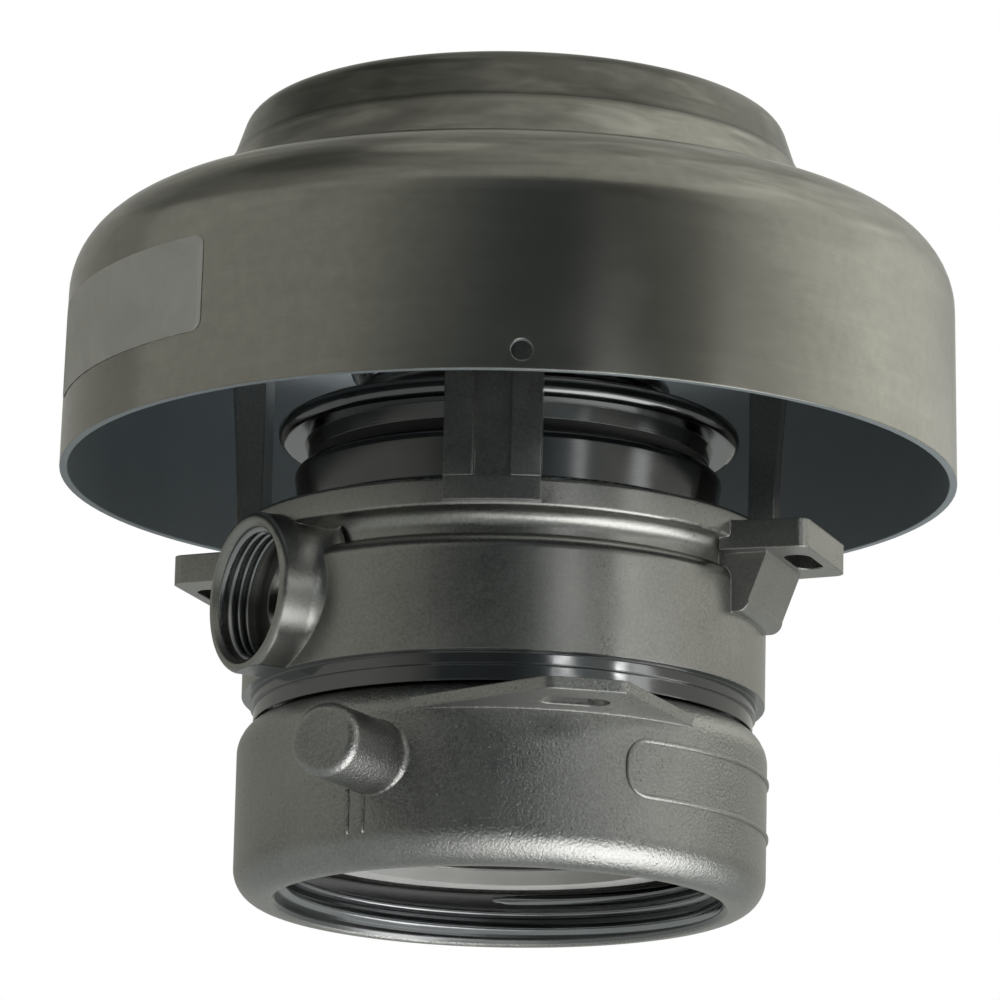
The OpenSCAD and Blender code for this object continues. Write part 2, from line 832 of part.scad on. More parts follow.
module retainer_screws() {
    color("#a3a19a")
    for (i = [0:retainer_screws_n - 1])
        rotate([0, 0, 360 / retainer_screws_n * (i + 0.5)])
            translate([0, -retainer_circle_r, 0])
                difference() {
                    union() {
                        post(retainer_head_r, seat_z - retainer_t, seat_z);
                        post(retainer_screw_r, seat_z - eps, pallet_z + retainer_screw_l - retainer_t - ring_clear);
                    }
                    translate([0, 0, seat_z - retainer_t - eps])
                        cylinder(r = socket_r, h = socket_depth + eps, $fn = 6);
                }
}

module guide_tube() {
    color("#c2c1bb")
    rotate_extrude()
        difference() {
            union() {
                ring_section(0, tube_root_r, poppet_seat_z, pallet_top_z + locator_h + eps);
                disc_section(tube_r, pallet_top_z + locator_h, tube_top_z, 0, edge_round);
            }
            ring_section(0, stem_r + stem_clear, poppet_seat_z - eps, tube_floor_z + eps);
            ring_section(0, tube_bore_r, tube_floor_z, tube_top_z + eps);
        }
}

module main_spring() {
    color("#a8a7a2")
        coil(spring_r, spring_wire, spring_l - 2 * spring_gap, spring_turns, pallet_top_z + spring_gap);
}

module upper_spring_plate() {
    color("#aaa89f")
    rotate_extrude()
        difference() {
            union() {
                disc_section(plate_r, plate_z, plate_z + plate_t, edge_round, edge_round);
                disc_section(locator_r, plate_z - locator_h, plate_z + eps, locator_round, 0);
            }
            ring_section(0, bush_r, plate_z - locator_h - eps, plate_z + plate_t + eps);
            ring_section(0, adjuster_r + ring_clear, adjuster_z, plate_z + plate_t + eps);
        }
}

module adjusting_screw() {
    color("#b7b5ab")
    difference() {
        ring(adjuster_bore_r, adjuster_r, adjuster_z, adjuster_top_z);
        translate([-adjuster_r - eps, -adjuster_slot_w / 2, adjuster_top_z - adjuster_slot_depth])
            cube([adjuster_d + 2 * eps, adjuster_slot_w, adjuster_slot_depth + eps]);
    }
}

module lock_ring() {
    color("#a9a79d")
    difference() {
        rotate_extrude()
            difference() {
                disc_section(lock_ring_r, recess_z, recess_z + lock_ring_t, edge_round, edge_round);
                ring_section(0, adjuster_r + screw_clear, recess_z - eps, recess_z + lock_ring_t + eps);
            }
        for (a = [0:90:270])
            rotate([0, 0, a])
                translate([-lock_slot_w / 2, -lock_ring_r - eps, recess_z - eps])
                    cube([lock_slot_w, lock_slot_depth + eps, lock_ring_t + 2 * eps]);
    }
}

module guide_bush() {
    color("#b08d4f")
        ring(bush_bore_r, bush_r, adjuster_z, bush_top_z);
}

module adjuster_plug() {
    color("#3a3a38")
    rotate_extrude()
        difference() {
            union() {
                disc_section(plug_r, adjuster_top_z, adjuster_top_z + plug_t, 0, edge_round);
                disc_section(bush_r, bush_top_z, adjuster_top_z + eps);
            }
            ring_section(0, bush_bore_r + plug_wall, bush_top_z - eps, adjuster_top_z);
        }
}

// Half section of the cap above the hub, a cone with a rounded edge
module cap_section() {
    foot = [cap_r, hub_z];
    centre = [cap_top_r, cap_top_z - cap_round];
    translate(centre)
        circle(cap_round);
    polygon([[0, hub_z], foot, touch_point(foot, centre, cap_round, -1), centre,
             [cap_top_r, cap_top_z], [0, cap_top_z]]);
}

module top_cap() {
    color("#8b8a82")
    difference() {
        rotate_extrude()
            difference() {
                union() {
                    cap_section();
                    disc_section(spigot_r, hub_z - cap_spigot_l, hub_z + eps, edge_round, 0);
                }
                difference() {
                    ring_section(0, cap_cup_r, hub_z - cap_spigot_l - eps, cap_top_z - cap_plate);
                    ring_section(0, cap_boss_r, cap_boss_z, cap_top_z);
                }
                ring_section(0, recess_r, recess_z, cap_top_z + eps);
                ring_section(0, adjuster_r + screw_clear, hub_z - cap_spigot_l - eps, cap_top_z);
            }
        for (a = [0, 180])
            rotate([0, 0, a])
                translate([0, -pin_circle_r, 0])
                    post(pin_hole_r, cap_top_z - pin_hole_depth, cap_top_z + eps);
    }
}

// Half section of the canopy's outside, grown inwards by t for the inside
module canopy_section(t) {
    skirt_top_z = flat_z - canopy_round;
    skirt_top_r = canopy_r - canopy_draft - t;
    shoulder = canopy_round - t;
    polygon([[0, rim_z - (t > 0 ? eps : 0)], [canopy_r - t, rim_z - (t > 0 ? eps : 0)],
             [skirt_top_r, skirt_top_z], [0, skirt_top_z]]);
    ring_section(0, skirt_top_r - shoulder, skirt_top_z - eps, flat_z - t);
    translate([skirt_top_r - shoulder, skirt_top_z])
        circle(shoulder);
    foot = hub_r + hub_flare - t;
    round = hub_fillet + t;
    touch = round / tan(45 + hub_slope / 2);
    polygon([[0, flat_z - t - eps], [foot, flat_z - t - eps], [foot, flat_z - t],
             [hub_r - t, hub_z - t], [0, hub_z - t]]);
    difference() {
        polygon([[foot - eps, flat_z - t - eps], [foot + touch, flat_z - t - eps], [foot + touch, flat_z - t],
                 [foot - touch * sin(hub_slope), flat_z - t + touch * cos(hub_slope)]]);
        translate([foot + touch, flat_z - t + round])
            circle(round);
    }
}

module canopy() {
    color("#7d7c72")
    difference() {
        rotate_extrude()
            difference() {
                canopy_section(0);
                canopy_section(sheet_t);
                ring_section(0, spigot_r + hub_clear, ring_top_z - eps, hub_z + eps);
            }
        rotate([0, 0, rim_hole_angle])
            radial_post(rim_hole_d / 2, canopy_r - canopy_draft - 4 * sheet_t, canopy_r + eps, rim_z + rim_hole_up);
    }
}

module vacuum_poppet() {
    color("#bfbeb8")
    rotate_extrude() {
        disc_section(poppet_r, poppet_top_z - poppet_t, poppet_top_z, poppet_round, edge_round);
        ring_section(0, stem_r * 2, poppet_top_z - poppet_t - poppet_boss_h, poppet_top_z);
        disc_section(stem_r, poppet_top_z - eps, cup_z + cup_t + stem_nut_h + stem_end, 0, edge_round);
    }
}

module vacuum_seal() {
    color("#2c2b29")
        ring(poppet_seal_r - poppet_seal_w, poppet_seal_r, poppet_top_z, poppet_seat_z);
}

module vacuum_spring() {
    color("#b0afa9")
        coil(light_spring_r, light_wire, light_spring_l - 2 * spring_gap, light_turns, tube_floor_z + spring_gap);
}

module vacuum_spring_cup() {
    color("#a09e96")
    rotate_extrude()
        difference() {
            union() {
                disc_section(tube_bore_r - spring_clear, cup_z, cup_z + cup_t, 0, edge_round);
                disc_section(light_spring_r - light_wire / 2 - spring_clear, cup_z - cup_spigot, cup_z + eps, edge_round, 0);
            }
            ring_section(0, stem_r + stem_clear, cup_z - cup_spigot - eps, cup_z + cup_t + eps);
        }
}

module vacuum_stem_nut() {
    color("#a9a8a2")
    difference() {
        translate([0, 0, cup_z + cup_t])
            cylinder(r = stem_nut_af / sqrt(3), h = stem_nut_h, $fn = 6);
        post(stem_r + stem_clear, cup_z + cup_t - eps, cup_z + cup_t + stem_nut_h + eps);
    }
}

valve_body();
cage_pillars();
cage_ring();
union_nut();
nut_retaining_ring();
union_gasket();
seat_nozzle();
nozzle_gasket();
pressure_pallet();
pallet_seal();
seal_retainer();
retainer_screws();
guide_tube();
main_spring();
upper_spring_plate();
adjusting_screw();
lock_ring();
guide_bush();
adjuster_plug();
top_cap();
canopy();
vacuum_poppet();
vacuum_seal();
vacuum_spring();
vacuum_spring_cup();
vacuum_stem_nut();
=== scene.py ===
import json
import math

import bpy
from mathutils import Matrix, Vector


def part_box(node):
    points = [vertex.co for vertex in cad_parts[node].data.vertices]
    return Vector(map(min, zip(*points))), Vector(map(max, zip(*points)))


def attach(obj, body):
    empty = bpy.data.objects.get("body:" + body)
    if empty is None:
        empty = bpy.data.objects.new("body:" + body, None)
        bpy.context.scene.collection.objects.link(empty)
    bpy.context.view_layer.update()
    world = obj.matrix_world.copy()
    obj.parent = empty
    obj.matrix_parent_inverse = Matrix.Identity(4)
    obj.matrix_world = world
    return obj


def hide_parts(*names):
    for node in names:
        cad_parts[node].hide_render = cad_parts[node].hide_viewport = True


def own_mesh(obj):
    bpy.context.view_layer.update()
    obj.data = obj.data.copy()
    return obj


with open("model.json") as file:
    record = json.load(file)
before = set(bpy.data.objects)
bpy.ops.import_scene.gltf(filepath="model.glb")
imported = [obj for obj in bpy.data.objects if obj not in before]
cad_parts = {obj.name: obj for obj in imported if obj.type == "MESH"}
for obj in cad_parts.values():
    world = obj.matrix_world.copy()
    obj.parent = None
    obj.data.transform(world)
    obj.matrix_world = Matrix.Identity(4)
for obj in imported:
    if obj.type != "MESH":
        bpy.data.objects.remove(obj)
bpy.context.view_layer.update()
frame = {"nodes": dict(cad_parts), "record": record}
nodes = frame["nodes"]
mounts = {mount["name"]: mount for mount in frame["record"]["mounts"]}
MM = 0.001

# Places where a finish or the colour changes, in metres: the cap's seam on the canopy's hub, above which
# the cap is darkened as painted shade, the shoulder where wiped dirt sets in, the turned neck of the
# casting, and the radius of the nut's machined bore

CAP_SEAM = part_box("canopy")[1].z
SHOULDER_LOW, SHOULDER_HIGH = 0.118, 0.132
NECK_LOW, NECK_HIGH = 0.0352, 0.0411
UNION_BORE = 0.0449

# Sizes that the added pieces share with the valve, in millimetres

UNION_ROOT = mounts["union_thread"]["dims"]["r_mm"]
UNION_CREST = 42.2
UNION_PITCH = 3.175
UNION_THREAD_LOW = 0.6
UNION_THREAD_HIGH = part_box("union_gasket")[0].z / MM
PORT_ROOT = mounts["side_port"]["dims"]["r_mm"]
PORT_CREST = 12.15
PORT_PITCH = 1.814
PORT_THREAD_LOW = 49.6
PORT_THREAD_HIGH = 57.9
PORT_Z = mounts["side_port"]["pos_m"][2] / MM
NUT_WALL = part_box("union_nut")[1].x / MM
PEG_ANGLES = (-28.7, 151.3)
RIM_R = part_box("canopy")[1].x / MM
RIM_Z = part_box("canopy")[0].z / MM
SKIRT_H = 35.3
SKIRT_TAPER = 0.6

# Colours of the stage

WARM = (1.0, 1.0, 0.92)
COOL = (0.86, 0.97, 1.0)
WHITE = (1.0, 1.0, 1.0)


# Camera at the photograph's viewing angle

def make_camera():
    azimuth = math.radians(3.4)
    elevation = math.radians(-13.752)
    roll = math.radians(1.276)
    target = Vector((0, 0, 0.0865))
    distance = 1.3
    back = Vector((math.sin(azimuth) * math.cos(elevation),
                   -math.cos(azimuth) * math.cos(elevation), math.sin(elevation)))
    right = Vector((math.cos(azimuth), math.sin(azimuth), 0))
    up = right.cross(-back)
    x = math.cos(roll) * right + math.sin(roll) * up
    y = math.cos(roll) * up - math.sin(roll) * right
    matrix = Matrix((x, y, back)).transposed().to_4x4()
    matrix.translation = target + back * distance
    data = bpy.data.cameras.new("camera")
    data.lens, data.sensor_width = 233.04, 36
    data.shift_x, data.shift_y = -0.00807, -0.01735
    data.clip_start, data.clip_end = 0.05, 50
    camera = bpy.data.objects.new("camera", data)
    camera.matrix_world = matrix
    bpy.context.scene.collection.objects.link(camera)
    bpy.context.scene.camera = camera


# Node trees

class Graph:
    """The node tree of a material or a world, with short calls for its nodes."""

    def __init__(self, owner):
        owner.use_nodes = True
        self.tree = owner.node_tree
        self.tree.nodes.clear()

    def add(self, kind, inputs=None, **settings):
        """New node with its settings, and a value or a link for each of the inputs given."""
        node = self.tree.nodes.new("ShaderNode" + kind)
        for name, value in settings.items():
            setattr(node, name, value)
        for socket, value in (inputs or {}).items():
            self.put(value, node.inputs[socket])
        return node

    def put(self, value, socket):
        """Link an output to the socket, or set the socket to a number, vector or colour."""
        if isinstance(value, bpy.types.NodeSocket):
            self.tree.links.new(value, socket)
        elif socket.type == "RGBA":
            socket.default_value = (*value, 1)
        else:
            socket.default_value = value

    def math(self, operation, a, b=0.0, clamp=False):
        return self.add("Math", {0: a, 1: b}, operation=operation, use_clamp=clamp).outputs[0]


class Surface(Graph):
    """A material's node tree round one shader."""

    def __init__(self, name, shader="BsdfPrincipled"):
        self.material = bpy.data.materials.new(name)
        super().__init__(self.material)
        self.shader = self.add(shader)
        self.output = self.add("OutputMaterial", {0: self.shader.outputs[0]})
        self.place = self.add("TexCoord").outputs["Object"]

    def set(self, **values):
        """Set the shader's inputs, named with _ for a space, and give the material."""
        for name, value in values.items():
            self.put(value, self.shader.inputs[name.replace("_", " ")])
        return self.material

    def axes(self):
        """X, Y and Z of the place."""
        return self.add("SeparateXYZ", {0: self.place}).outputs

    def radius(self):
        """Distance from the Z axis."""
        x, y, _ = self.axes()
        squares = self.math("ADD", self.math("MULTIPLY", x, x), self.math("MULTIPLY", y, y))
        return self.math("SQRT", squares)

    def along_profile(self):
        """Way along the profile of a turned wall: Z less the distance from the Z axis."""
        return self.math("SUBTRACT", self.axes()[2], self.radius())

    def drawn_out(self, around, along):
        """Place on a turned wall, scaled round the axis and along the profile."""
        x, y, _ = self.axes()
        r = self.radius()
        return self.add("CombineXYZ", {
            0: self.math("MULTIPLY", self.math("DIVIDE", x, r), around),
            1: self.math("MULTIPLY", self.math("DIVIDE", y, r), around),
            2: self.math("MULTIPLY", self.along_profile(), along)}).outputs[0]

    def scaled(self, x, y, z):
        return self.add("Mapping", {"Vector": self.place, "Scale": (x, y, z)}).outputs[0]

    def noise(self, scale, detail=3.0, rough=0.5, distortion=0.0, vector=None, shift=0.0):
        source = vector or self.place
        if shift:
            offset = (shift, shift * 0.7, -shift)
            source = self.add("Mapping", {"Vector": source, "Location": offset}).outputs[0]
        return self.add("TexNoise", {"Vector": source, "Scale": scale, "Detail": detail,
                                     "Roughness": rough, "Distortion": distortion}).outputs[0]

    def lines(self, per_metre, detail=4.0):
        """Turning marks round the Z axis: a one-way noise along the profile."""
        return self.add("TexNoise", {"W": self.along_profile(), "Scale": per_metre, "Detail": detail},
                        noise_dimensions="1D").outputs[0]

    def cells(self, scale):
        """Distance from the middle of the nearest random cell."""
        return self.add("TexVoronoi", {"Vector": self.place, "Scale": scale}).outputs["Distance"]

    def span(self, value, low, high, to_low=0.0, to_high=1.0):
        """The stretch from low to high, spread over to_low to to_high and held beyond."""
        return self.add("MapRange", {0: value, 1: low, 2: high, 3: to_low, 4: to_high}).outputs[0]

    def ramp(self, value, stops):
        """Greys or colours between stops of (value, tone)."""
        node = self.add("ValToRGB", {0: value})
        elements = node.color_ramp.elements
        while len(elements) < len(stops):
            elements.new(0.5)
        for element, (at, tone) in zip(elements, stops):
            element.position = at
            element.color = (*tone, 1) if isinstance(tone, tuple) else (tone, tone, tone, 1)
        return node.outputs[0]

    def mix(self, factor, a, b, mode="MIX"):
        return self.add("Mix", {0: factor, 6: a, 7: b}, data_type="RGBA", blend_type=mode).outputs[2]

    def mix_value(self, factor, a, b):
        return self.add("Mix", {0: factor, 2: a, 3: b}).outputs[0]

    def inward(self):
        """1 on faces that look to the axis or down, such as the inside of a cover, else 0."""
        normal = self.add("TexCoord").outputs["Normal"]
        level = self.add("VectorMath", {0: self.place, 1: (1, 1, 0)}, operation="MULTIPLY").outputs[0]
        out = self.add("VectorMath", {0: level}, operation="NORMALIZE").outputs[0]
        out_and_up = self.add("VectorMath", {0: out, 1: (0, 0, 1)}, operation="ADD").outputs[0]
        dot = self.add("VectorMath", {0: normal, 1: out_and_up}, operation="DOT_PRODUCT")
        return self.math("LESS_THAN", dot.outputs["Value"], 0.0)

    def soft_edge(self, radius):
        """Normals that round the edges off."""
        return self.add("Bevel", {"Radius": radius}, samples=4).outputs[0]

    def bump(self, height, strength, distance, normal=None):
        node = self.add("Bump", {"Height": height, "Strength": strength, "Distance": distance})
        if normal is not None:
            self.put(normal, node.inputs["Normal"])
        return node.outputs[0]


# Finishes

def times(colour, factor):
    return tuple(c * factor for c in colour)


def cast_steel(name, tone, dark, grain, depth, rough, pits, neck=None, bore=None):
    """Cast stainless: fine grain, small pits and cloudy tone, with rounded edges.
    It is turned smooth between the heights of `neck`, or machined inside the radius `bore`, and a darker
    grey in either place."""
    pit_dirt = (0.05, 0.05, 0.048)
    # Darker grey where the casting is smooth: the turned neck and the machined bore
    darker_smooth = (0.21, 0.215, 0.215)
    neck_rough, bore_rough = 0.11, 0.24
    relief = 0.6
    g = Surface(name)
    cloud = g.noise(38, detail=4, rough=0.6, distortion=0.4)
    fine = g.noise(grain, detail=3, rough=0.6)
    pit = g.ramp(g.cells(grain * 0.3), [(0.0, 0.0), (pits, 1.0)])
    colour = g.mix(g.span(cloud, 0.3, 0.72), dark, tone)
    colour = g.mix(g.span(fine, 0.3, 0.72, to_high=0.45), colour, times(tone, 1.5))
    in_pits = g.math("MULTIPLY", g.math("SUBTRACT", 1.0, pit), 0.6, clamp=True)
    colour = g.mix(in_pits, colour, pit_dirt)
    uneven = g.math("ADD", g.math("MULTIPLY", cloud, 0.6), g.math("MULTIPLY", fine, 0.4))
    surface = g.span(uneven, 0.3, 0.7, rough - 0.06, rough + 0.08)
    smooth = None
    if neck:
        height = g.axes()[2]
        above, below = g.math("GREATER_THAN", height, neck[0]), g.math("LESS_THAN", height, neck[1])
        smooth = g.math("MULTIPLY", above, below)
    elif bore:
        smooth = g.math("LESS_THAN", g.radius(), bore)
    if smooth:
        colour = g.mix(smooth, colour, darker_smooth)
        surface = g.mix_value(smooth, surface, neck_rough if neck else bore_rough)
        relief = g.span(smooth, 0.0, 1.0, to_low=relief, to_high=0.02)
    normal = g.bump(g.noise(95, detail=2), 0.3, 0.0004, g.soft_edge(0.00045))
    normal = g.bump(g.math("ADD", fine, g.math("MULTIPLY", pit, 0.7)), relief, depth, normal)
    return g.set(Base_Color=colour, Metallic=1.0, Normal=normal, Roughness=surface)


def spun_steel(name, tone, dark, pale, rough):
    """Spun sheet: faint turning lines, soft water stains and small scuffs.
    Its upper part has wiped dirt, the cap is darkened above its seam as painted shade, with a painted
    shadow along the seam, and the inside is dull, with a lighter bluish grey painted in as light."""
    # The seam colour is a painted shadow along the cap's seam, and the cap colour is painted shade that
    # darkens the cap; the speck colour is dirt
    speck_dirt, seam_painted_shadow = (0.1, 0.098, 0.088), (0.06, 0.06, 0.055)
    cap_painted_shade = (0.56, 0.56, 0.56)
    # The inside's greys, lighter and bluer than the outside, are painted light
    inside_lit_dark, inside_lit_pale, inside_rough = (0.325, 0.36, 0.375), (0.395, 0.43, 0.45), 0.58
    g = Surface(name)
    height = g.axes()[2]
    cloud = g.noise(17, detail=4, rough=0.55, distortion=0.3)
    colour = g.mix(g.span(cloud, 0.3, 0.72), dark, tone)

    # Water stains with a dark outline, here and there
    blot = g.noise(30, detail=2, rough=0.45, distortion=0.6, shift=3.7)
    where = g.span(g.noise(9, detail=2, shift=8.1), 0.5, 0.66)
    colour = g.mix(g.math("MULTIPLY", g.span(blot, 0.5, 0.66, to_high=0.45), where), colour, pale)
    outline = g.ramp(blot, [(0.53, 0.0), (0.57, 0.42), (0.585, 0.42), (0.6, 0.0)])
    colour = g.mix(g.math("MULTIPLY", outline, where), colour, times(dark, 0.8))

    # Specks, turning lines and a fine mottle
    speck = g.ramp(g.cells(240), [(0.0, 1.0), (0.09, 0.0)])
    speck = g.math("MULTIPLY", speck, g.span(cloud, 0.5, 0.68, to_high=0.6), clamp=True)
    colour = g.mix(speck, colour, speck_dirt)
    turned = g.lines(2600)
    colour = g.mix(g.span(turned, 0.35, 0.7, to_high=0.12), colour, pale)
    mottle = g.noise(420, detail=4, rough=0.6)
    colour = g.mix(g.span(mottle, 0.35, 0.7, to_high=0.22), colour, times(dark, 0.75))

    # Pale and dark smears, wiped round the shoulder and the hub
    wiped = g.drawn_out(around=0.08, along=4.5)
    upper = g.span(height, SHOULDER_LOW, SHOULDER_HIGH, to_low=0.14)
    for scale, shift, smear in ((40, 0.0, times(pale, 1.2)), (36, 2.9, times(dark, 0.5))):
        wipe = g.noise(scale, detail=2.5, distortion=0.4, vector=wiped, shift=shift)
        share = g.math("MULTIPLY", g.span(wipe, 0.48, 0.68, to_high=0.6), upper)
        colour = g.mix(share, colour, smear)

    # The cap, darkened as painted shade, and a painted shadow along its seam
    colour = g.mix(g.math("GREATER_THAN", height, CAP_SEAM), colour, cap_painted_shade, "MULTIPLY")
    seam = g.math("ABSOLUTE", g.math("SUBTRACT", height, CAP_SEAM))
    colour = g.mix(g.span(seam, 0.0002, 0.0011, to_low=0.55, to_high=0.0), colour, seam_painted_shadow)

    # Dents, turning marks and gloss
    normal = g.bump(g.noise(14, detail=2, distortion=0.3, shift=1.3), 0.18, 0.0006, g.soft_edge(0.0004))
    normal = g.bump(turned, 0.1, 0.00003, normal)
    uneven = g.math("ADD", g.math("MULTIPLY", cloud, 0.6), g.math("MULTIPLY", mottle, 0.4))
    surface = g.span(uneven, 0.35, 0.68, rough - 0.03, rough + 0.05)

    # The inside: dull, with a lighter bluish grey painted in as light
    inside = g.inward()
    colour = g.mix(inside, colour, g.mix(g.span(cloud, 0.3, 0.72), inside_lit_dark, inside_lit_pale))
    surface = g.mix_value(inside, surface, inside_rough)
    return g.set(Base_Color=colour, Metallic=1.0, Normal=normal, Roughness=surface)


def turned_steel(name, tone, rough):
    """Turned bar: close lines round the axis and a light film."""
    g = Surface(name)
    turned = g.lines(5200, detail=3)
    cloud = g.noise(45, rough=0.6, distortion=0.5)
    colour = g.mix(g.span(cloud, 0.3, 0.7), times(tone, 0.78), tone)
    colour = g.mix(g.span(turned, 0.35, 0.68, to_high=0.3), colour, times(tone, 0.6))
    normal = g.bump(turned, 0.22, 0.00002, g.soft_edge(0.0003))
    return g.set(Base_Color=colour, Metallic=1.0, Normal=normal,
                 Roughness=g.span(cloud, 0.3, 0.7, rough - 0.04, rough + 0.06))


def wire_steel(name, tone):
    """Drawn wire with fine streaks."""
    g = Surface(name)
    streak = g.noise(420, rough=0.6, vector=g.scaled(1, 1, 4))
    cloud = g.noise(70)
    colour = g.mix(g.span(streak, 0.3, 0.7), times(tone, 0.7), tone)
    return g.set(Base_Color=colour, Metallic=1.0, Normal=g.bump(streak, 0.2, 0.00003),
                 Roughness=g.span(cloud, 0.3, 0.7, 0.24, 0.36))


def soft_plastic(name, tone, shade, rough, grain=900, depth=0.00004):
    """Moulded or skived non-metal with fine grain and a little dirt."""
    g = Surface(name)
    cloud = g.noise(55, detail=4, rough=0.6, distortion=0.5)
    fine = g.noise(grain, rough=0.6)
    colour = g.mix(g.span(cloud, 0.35, 0.75), tone, shade)
    return g.set(Base_Color=colour, Normal=g.bump(fine, 0.3, depth, g.soft_edge(0.00025)),
                 Roughness=g.span(fine, 0.3, 0.7, rough - 0.06, rough + 0.06))


def paper(name, tone, shade):
    """Label paper: faint fibres and a cloudy tone."""
    pale_fibre = (0.75, 0.75, 0.72)
    g = Surface(name)
    fibre = g.noise(1500, detail=4, rough=0.7, vector=g.scaled(1, 1, 2.5))
    cloud = g.noise(60, rough=0.6, distortion=0.6)
    colour = g.mix(g.span(cloud, 0.4, 0.75), tone, shade)
    colour = g.mix(g.span(fibre, 0.35, 0.75, to_high=0.12), colour, pale_fibre)
    return g.set(Base_Color=colour, Normal=g.bump(fibre, 0.15, 0.00003),
                 Roughness=g.span(cloud, 0.3, 0.7, 0.42, 0.55))


# Mesh pieces: sizes in millimetres, meshes in metres in the shared frame

def piece(name, points, faces, body, material):
    mesh = bpy.data.meshes.new(name)
    mesh.from_pydata([tuple(p) for p in points], [], faces)
    mesh.validate()
    mesh.update()
    mesh.shade_smooth()
    obj = bpy.data.objects.new(name, mesh)
    bpy.context.scene.collection.objects.link(obj)
    mesh.materials.append(material)
    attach(obj, body)
    return obj


def strip_faces(rows, columns, closed=False):
    """Quads of a grid of points, row after row, closed round each row if asked."""
    last = columns if closed else columns - 1
    return [(i * columns + k, i * columns + (k + 1) % columns,
             (i + 1) * columns + (k + 1) % columns, (i + 1) * columns + k)
            for i in range(rows - 1) for k in range(last)]


def tube_faces(rings, sides):
    """Faces of a tube of rings of points, closed by a cap at each end."""
    last = (rings - 1) * sides
    caps = [tuple(range(sides - 1, -1, -1)), tuple(range(last, last + sides))]
    return strip_faces(rings, sides, closed=True) + caps


def polar(theta, radius, z):
    """Point at an angle in degrees from the front towards +X."""
    a = math.radians(theta)
    return Vector((radius * math.sin(a), -radius * math.cos(a), z)) * MM


def thread(name, root, crest, pitch, low, high, along, body, material):
    """Right-hand ridge inside a bore, which sinks into the wall at both ends.
    `along` turns (radius, angle, way along the bore) into a point."""
    per_turn, run_out, sunk, least = 120, 0.2, 0.12, 0.02
    # Section of the ridge: share of its height, and place in the pitch
    section = ((0, -0.47), (0.55, -0.235), (0.95, -0.09), (1, -0.05),
               (1, 0.05), (0.95, 0.09), (0.55, 0.235), (0, 0.47))
    start, end = low + pitch / 2, high - pitch / 2
    steps = int((end - start) / pitch * per_turn)
    foot = root + sunk
    points = []
    for i in range(steps + 1):
        turn = i / per_turn
        fade = min(1.0, i / (per_turn * run_out), (steps - i) / (per_turn * run_out))
        ridge = (crest - foot) * max(fade, least)
        for share, shift in section:
            points.append(along(foot + ridge * share, turn * 2 * math.pi, start + pitch * (turn + shift)))
    return piece(name, points, tube_faces(steps + 1, len(section)), body, material)


def coil(name, node, radius, wire, turns, body, material):
    """Spring of round wire with close end turns, as high as the plain solid of its node."""
    sides, per_turn, end_turns, end_gap = 14, 56, 1.0, 0.2
    low, high = (corner.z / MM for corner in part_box(node))
    rise = high - low - wire
    close = wire + end_gap
    steps = int(turns * per_turn)
    open_pitch = (rise - 2 * end_turns * close) / (turns - 2 * end_turns)
    points = []
    for i in range(steps + 1):
        turn = i / per_turn
        if turn < end_turns:
            z = close * turn
        elif turn > turns - end_turns:
            z = rise - close * (turns - turn)
        else:
            z = close * end_turns + open_pitch * (turn - end_turns)
        for k in range(sides):
            b = 2 * math.pi * k / sides
            across, up = wire / 2 * math.cos(b), -wire / 2 * math.sin(b)
            points.append(polar(360 * turn, radius + across, low + wire / 2 + z + up))
    return piece(name, points, tube_faces(steps + 1, sides), body, material)


def label(name, theta_low, theta_high, z_low, z_high, corner, radius_at, body, material):
    """Sheet with rounded corners, laid on a wall of revolution."""
    rows, columns, thick, under = 24, 48, 0.14, 0.02
    wall = radius_at((z_low + z_high) / 2)
    arc = math.radians(theta_high - theta_low) * wall
    # Rows lie closer together towards the rounded corners
    shares = [0.5 - 0.5 * math.cos(math.pi * i / (rows - 1)) for i in range(rows)]
    heights = [z_low + (z_high - z_low) * share for share in shares]
    points = []
    for layer in (thick, under):
        for z in heights:
            d = max(0.0, corner - min(z - z_low, z_high - z))
            inset = corner - math.sqrt(max(corner ** 2 - d ** 2, 0))
            for k in range(columns):
                s = inset + (arc - 2 * inset) * k / (columns - 1)
                points.append(polar(theta_low + math.degrees(s / wall), radius_at(z) + layer, z))
    n = rows * columns
    front = strip_faces(rows, columns)
    back = [tuple(n + i for i in reversed(face)) for face in front]
    rim = list(range(columns))
    rim += [i * columns + columns - 1 for i in range(1, rows)]
    rim += [(rows - 1) * columns + k for k in range(columns - 2, -1, -1)]
    rim += [i * columns for i in range(rows - 2, 0, -1)]
    edge = [(a, n + a, n + b, b) for a, b in zip(rim, rim[1:] + rim[:1])]
    return piece(name, points, front + back + edge, body, material)


